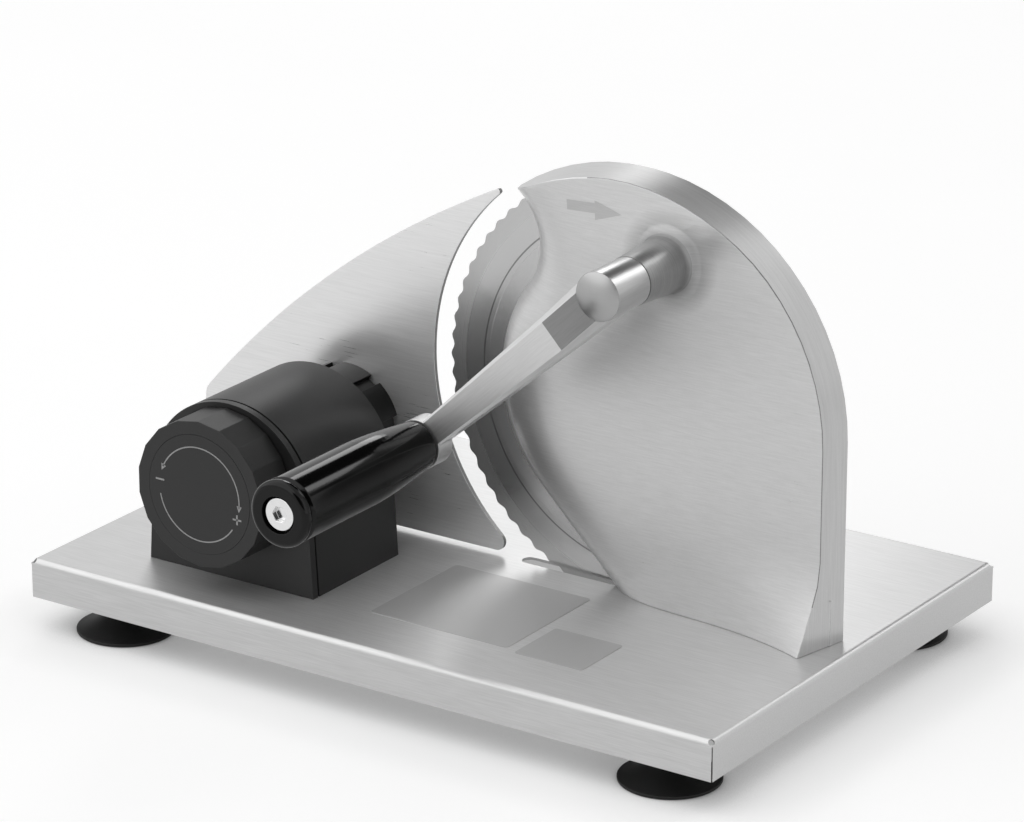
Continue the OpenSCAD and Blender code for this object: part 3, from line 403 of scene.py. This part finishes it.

# Blade: a round knife of hardened stainless steel with a wavy edge, ground hollow on its crank side.
# Grinding leaves fine rings about its axis and a bevel less glossy than the disc, and the step of the
# hollow grind gets a dark ring of painted shade.
bevel_from = 87 * mm
step_radius = 77.3 * mm
step_width = 0.7 * mm
blade = dressed("blade", 0.06 * mm)
ground, shader, place = new_finish("ground_steel", {"Metallic": 0.85})
radius = place.from_axis(blade_axis)
rings = radius.node("ShaderNodeTexNoise", {"noise_dimensions": "1D"}, {"W": radius * 2600, "Detail": 3.0})
marks = place.noise(26.0)
bevel = radius > bevel_from
# Painted shade: a dark ring along the step of the hollow grind.
step = 1 - (abs(radius - step_radius) > step_width / 2)
shade = 0.42 + 0.11 * rings + 0.05 * marks - 0.28 * step
shade.between(grey(0.0), grey(1.0)).feed(shader, "Base Color")
(0.14 + 0.1 * rings + 0.06 * marks + 0.06 * bevel).feed(shader, "Roughness")
rings.relief(0.004 * mm, 0.7).feed(shader, "Normal")
coat(ground, blade)

# Blade drive: a white nylon wheel screwed to the blade, which the crank's steel pinion turns.
# The pinion sits on the crank's shaft, which a blued spring clip holds lengthwise.
nylon, shader, place = new_finish("white_nylon", {"Specular IOR Level": 0.4})
flow = place.noise(40.0)
flow.between(grey(0.66, 0.02), grey(0.76, 0.02)).feed(shader, "Base Color")
(0.42 + 0.14 * flow).feed(shader, "Roughness")
place.noise(900.0).relief(0.02 * mm, 0.2).feed(shader, "Normal")
coat(nylon, nodes["blade_gear"], nodes["knob_washer"])
blued, shader, place = new_finish("blued_spring_steel", {"Metallic": 1.0})
tint = place.noise(300.0)
tint.between((0.06, 0.065, 0.08, 1), (0.12, 0.12, 0.14, 1)).feed(shader, "Base Color")
(0.3 + 0.15 * tint).feed(shader, "Roughness")
coat(blued, nodes["shaft_clip"])
coat(zinc, *(nodes[name] for name in ("blade_screws", "crank_pinion", "crank_shaft", "crank_screw")))

# Crank: a forged aluminium arm with a round hub on the shaft and an eye for the grip, brushed all over.
# A polished domed cap closes the hub over the screw that holds the arm.
arm = dressed("crank_arm", 0.7 * mm, turn=25)
along_arm = (0, math.radians(-43.7), 0)
crank_low, crank_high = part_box("crank_cap")
crank_axis = (crank_low + crank_high) / 2
arm_way = Vector((math.cos(-along_arm[1]), 0, math.sin(-along_arm[1])))
flat_length = 30 * mm
flat_end = arm_way.dot(crank_axis) - flat_length
hub_radius = 10.8 * mm


def hub_painted_shade(place):
    """1 on the flat beside the hub and a third on the round of the hub, where painted shade darkens the
    brushed metal.
    """
    turned = place.in_steps((1, 1, 1), along_arm)
    flat = (turned.part("X") > flat_end) * (to_front(place) > 0.97)
    hub_round = 1 - (place.from_axis(crank_axis) > hub_radius)
    return flat.math("MAXIMUM", flat, hub_round * 0.33)


arm_steps = (10 * mm, 10 * mm, 0.6 * mm)
arm_metal = brushed("arm_aluminium", 0.6, arm_steps, 0.3, 0.16, along_arm, 0.85, hub_painted_shade)
coat(arm_metal, arm)
cap = dressed("crank_cap", 0.25 * mm)
cap_metal = brushed("cap_aluminium", 0.36, (9 * mm, 9 * mm, 0.5 * mm), 0.36, 0.06)
coat(cap_metal, cap)

# Grip: a turned handle of glossy black plastic that spins on a shoulder screw, with a beaded end ring.
# The screw's bright socket head sits deep in the ring.
grip = dressed("grip", 0.3 * mm)
end_ring = dressed("grip_end_cap", 0.2 * mm)
black_gloss, shader, place = new_finish("black_gloss", {"Specular IOR Level": 0.2})
swirl = place.noise(30.0)
dust = place.noise(700.0)
swirl.between(grey(0.002), grey(0.005)).feed(shader, "Base Color")
(0.07 + 0.04 * swirl + 0.04 * dust).feed(shader, "Roughness")
swirl.relief(0.05 * mm, 0.15).feed(shader, "Normal")
coat(black_gloss, grip, end_ring)
socket_screw = dressed("grip_spindle", 0.25 * mm)
polish, shader, place = new_finish("polished_steel", {"Metallic": 1.0})
cloud = place.noise(160.0)
cloud.between(grey(0.66), grey(0.8)).feed(shader, "Base Color")
(0.14 + 0.1 * cloud).feed(shader, "Roughness")
coat(polish, socket_screw, nodes["grip_washer"])

# Adjuster: a moulded plastic block with an arched top, whose knob turns a screw that moves the fence.
# The mouldings are satin black with a fine spark-eroded grain, a little polished along their edges.


def moulded(name, tone, roughness, specular=0.4):
    """Black moulded plastic: fine grain, faint flow marks and a soft sheen."""
    finish, shader, place = new_finish(name, {"Specular IOR Level": specular})
    grain = place.noise(2200.0, 2.0)
    flow = place.noise(22.0)
    (grain * 0.4 + flow * 0.6).between(grey(tone * 0.8), grey(tone * 1.2)).feed(shader, "Base Color")
    (roughness - 0.08 + 0.1 * grain + 0.08 * flow).feed(shader, "Roughness")
    grain.relief(0.03 * mm, 0.35).feed(shader, "Normal")
    return finish


housing = dressed("adjuster_housing", 0.6 * mm)
coat(moulded("housing_plastic", 0.01, 0.44, 0.4), housing)
knob = dressed("adjuster_knob", 0.3 * mm, turn=15)
knob_black = moulded("knob_plastic", 0.014, 0.46)
coat(knob_black, knob, nodes["knob_dial"])
coat(zinc, nodes["knob_screw"], nodes["adjuster_spindle"])

# Dial marks: a thin printed ring in two arcs with arrow heads, a minus at the thin end and a plus at the
# thick end. The print is pale grey and lies on the knob's front.
dial_low, dial_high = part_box("knob_dial")
dial_middle = (dial_low + dial_high) / 2
print_y = dial_low.y - 0.03 * mm
ring_radius = 20.6 * mm
line_width = 0.55 * mm
sign_length = 4.4 * mm
sign_width = 0.8 * mm
pale_print, shader, place = new_finish("pale_print", {"Specular IOR Level": 0.3})
wear = place.noise(900.0)
wear.between(grey(0.3), grey(0.48)).feed(shader, "Base Color")
(0.5 + 0.2 * wear).feed(shader, "Roughness")


def on_dial(radius, turn):
    """A point of the dial's front at a radius and a direction seen from the front."""
    reach = Vector((math.cos(turn), 0, math.sin(turn))) * radius
    return Vector((dial_middle.x, print_y, dial_middle.z)) + reach


def printed(name, piece):
    """Finishes a stroke of print: names it, turns its face to the front and puts it on the knob."""
    piece.name = name
    bpy.ops.object.mode_set(mode="EDIT")
    bpy.ops.mesh.select_all(action="SELECT")
    bpy.ops.mesh.remove_doubles(threshold=0.001 * mm)
    bpy.ops.object.mode_set(mode="OBJECT")
    facing_back = sum(face.normal.y * face.area for face in piece.data.polygons)
    if facing_back > 0:
        bpy.ops.object.mode_set(mode="EDIT")
        bpy.ops.mesh.flip_normals()
        bpy.ops.object.mode_set(mode="OBJECT")
    coat(pale_print, piece)
    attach(piece, "knob")


def printed_bar(name, middle, length, width, turn):
    """A straight stroke of print, turned in the dial's plane."""
    bpy.ops.object.select_all(action="DESELECT")
    bpy.ops.mesh.primitive_grid_add(x_subdivisions=4, y_subdivisions=2, size=1, location=middle)
    bar = bpy.context.object
    bar.scale = (length, width, 1)
    bar.rotation_euler = (upright, -turn, 0)
    bpy.ops.object.transform_apply(location=True, rotation=True, scale=True)
    printed(name, bar)


def printed_arc(name, start, end):
    """A stroke along the ring from one direction to another, spun from one radial edge."""
    bpy.ops.object.select_all(action="DESELECT")
    bpy.ops.mesh.primitive_plane_add(size=1, location=on_dial(ring_radius, start))
    arc = bpy.context.object
    arc.scale = (line_width, 0.02 * mm, 1)
    arc.rotation_euler = (upright, -start, 0)
    bpy.ops.object.transform_apply(location=True, rotation=True, scale=True)
    bpy.ops.object.mode_set(mode="EDIT")
    bpy.ops.mesh.select_all(action="SELECT")
    bpy.ops.mesh.remove_doubles(threshold=0.1 * mm)
    bpy.ops.mesh.spin(steps=72, angle=end - start, center=on_dial(0, 0), axis=(0, 1, 0))
    bpy.ops.object.mode_set(mode="OBJECT")
    printed(name, arc)


def printed_head(name, turn, way):
    """A small arrow head across the ring's line, pointing along it."""
    bpy.ops.object.select_all(action="DESELECT")
    place = on_dial(ring_radius, turn)
    bpy.ops.mesh.primitive_circle_add(vertices=3, radius=1, fill_type="NGON", location=place)
    point = bpy.context.object
    point.scale = (1.5 * mm, 1.9 * mm, 1)
    point.rotation_euler = (upright, -turn + (0 if way > 0 else math.pi), 0)
    bpy.ops.object.transform_apply(location=True, rotation=True, scale=True)
    printed(name, point)


upper_start, upper_end = math.radians(-5), math.radians(155)
lower_start, lower_end = math.radians(190), math.radians(325)
printed_arc("dial_arc_upper", upper_start, upper_end)
printed_arc("dial_arc_lower", lower_start, lower_end)
printed_head("dial_head_thin", upper_end, 1)
printed_head("dial_head_thick", upper_start, -1)
thin_end = on_dial(ring_radius, (upper_end + lower_start) / 2)
thick_end = on_dial(ring_radius, math.radians(-20))
printed_bar("dial_minus", thin_end, sign_length, sign_width, 0)
printed_bar("dial_plus_level", thick_end, sign_length, sign_width, 0)
printed_bar("dial_plus_upright", thick_end, sign_length, sign_width, math.pi / 2)

# Fence: an aluminium plate on a grooved plastic sleeve, which slides in the housing on a screw.
# Its concave edge follows the blade, and it is brushed level like the cover.
sleeve = dressed("fence_carrier", 0.5 * mm)
coat(moulded("sleeve_plastic", 0.004, 0.32, 0.25), sleeve)
fence = dressed("fence_plate", 0.25 * mm)


def edge_painted_shade(place):
    """Above 1 on the plate's narrow edges, which are darkened with a painted dark reflection of the black
    housing.
    """
    return 1.35 * (1 - (abs(to_front(place)) > 0.5))


fence_metal = brushed(
    "fence_aluminium", 0.8, (16 * mm, 0.5 * mm, 0.5 * mm), 0.3, 0.13, metallic=0.65, painted_shade=edge_painted_shade)
coat(fence_metal, fence)
coat(zinc, nodes["fence_screws"])

# Studio: a white floor that keeps the object's shadow, a white surround and soft lamps.
# A large lamp lights the crank's side, and two narrow ones behind draw the streaks on round metal.
scene = bpy.context.scene
scene.view_settings.view_transform = "Standard"
bpy.ops.mesh.primitive_plane_add(size=14, location=(0, 0, -0.3 * mm))
floor = bpy.context.object
floor.name = "floor"


def seen_rays(start):
    """1 for rays that show the background: from the camera, off gloss or through glass."""
    path = {name: start.node("ShaderNodeLightPath", output=name) for name in (
        "Is Camera Ray", "Is Glossy Ray", "Is Transmission Ray")}
    some = path["Is Camera Ray"] + path["Is Glossy Ray"] + path["Is Transmission Ray"]
    return some.math("MINIMUM", some, 1.0)


paper, shader, place = new_finish("white_paper", {"Roughness": 0.9, "Specular IOR Level": 0.0})
fibre = place.noise(6.0)
fibre.between(grey(0.56), grey(0.58)).feed(shader, "Base Color")
# Painted shadow: the floor's glow is darkened by ambient occlusion under and round the object.
open_sky = place.node("ShaderNodeAmbientOcclusion", {"samples": 4}, {"Distance": 40 * mm}, "AO")
(seen_rays(place) * open_sky).between(grey(0.0), grey(0.54)).feed(shader, "Emission Color")
shader.inputs["Emission Strength"].default_value = 1.0
coat(paper, floor)

world = bpy.data.worlds.new("white_surround")
scene.world = world
world.use_nodes = True
sky = Shade(world.node_tree)
background = world.node_tree.nodes["Background"]
background.inputs["Color"].default_value = grey(1.0)
(0.45 + 0.55 * seen_rays(sky)).feed(background, "Strength")


def softbox(name, place, aim, size, power):
    """A rectangular lamp that looks at a point."""
    lamp = bpy.data.lights.new(name, "AREA")
    lamp.shape = "RECTANGLE"
    lamp.size, lamp.size_y = size
    lamp.energy = power
    holder = bpy.data.objects.new(name, lamp)
    scene.collection.objects.link(holder)
    holder.location = place
    holder.visible_camera = False
    holder.rotation_euler = (Vector(aim) - Vector(place)).to_track_quat("-Z", "Y").to_euler()


softbox("key_softbox", (-0.9, -1.0, 1.5), (0, 0, 0.1), (3.0, 3.0), 28)
softbox("left_strip", (-0.84, 1.48, 0.95), (0, 0, 0.1), (0.33, 0.8), 2.6)
softbox("right_strip", (0.62, 1.48, 1.12), (0, 0, 0.1), (0.33, 0.8), 2.8)
softbox("right_fill", (1.6, -0.5, 0.8), (0, 0, 0.1), (1.5, 1.5), 4)

# Curtains: black felt, hung far behind the object and behind the camera, out of the picture.
# It draws the dark bands on round metal.
felt, shader, place = new_finish("black_felt", {"Roughness": 0.95, "Specular IOR Level": 0.0})
place.noise(60.0).between(grey(0.01), grey(0.02)).feed(shader, "Base Color")


def curtain(name, place, size):
    """A black card that faces the object, well beyond the cameras."""
    bpy.ops.mesh.primitive_plane_add(size=1, location=place)
    card = bpy.context.object
    card.name = name
    card.scale = (size[0], size[1], 1)
    card.rotation_euler = (card.location - Vector((0, 0, 0.1))).to_track_quat("Z", "Y").to_euler()
    coat(felt, card)


curtain("back_curtain", (-0.4, 3.4, 2.6), (2.3, 3.6))
curtain("camera_curtain", (2.1, -3.1, 1.9), (4.5, 2.8))

# Camera: a long lens to the right of the crank's side and a little above, as in the photograph.
# It looks at the middle of the tray's top, shifted so that the object fills the picture.
azimuth, elevation = math.radians(34.115), math.radians(20.118)
camera_distance, camera_rise, camera_aside = 2.0561, 0.0631, 0.00006
focal_length = 170.7
back = Vector((
    math.sin(azimuth) * math.cos(elevation),
    -math.cos(azimuth) * math.cos(elevation),
    math.sin(elevation),
))
right = Vector((math.cos(azimuth), math.sin(azimuth), 0))
up = back.cross(right)
tray_top = Vector((tray_middle.x, tray_middle.y, tray_high.z))
lens = bpy.data.cameras.new("camera")
lens.lens = focal_length
lens.sensor_width = 36
camera = bpy.data.objects.new("camera", lens)
scene.collection.objects.link(camera)
camera.location = tray_top + back * camera_distance + up * camera_rise + right * camera_aside
camera.rotation_euler = (-back).to_track_quat("-Z", "Y").to_euler()
scene.camera = camera
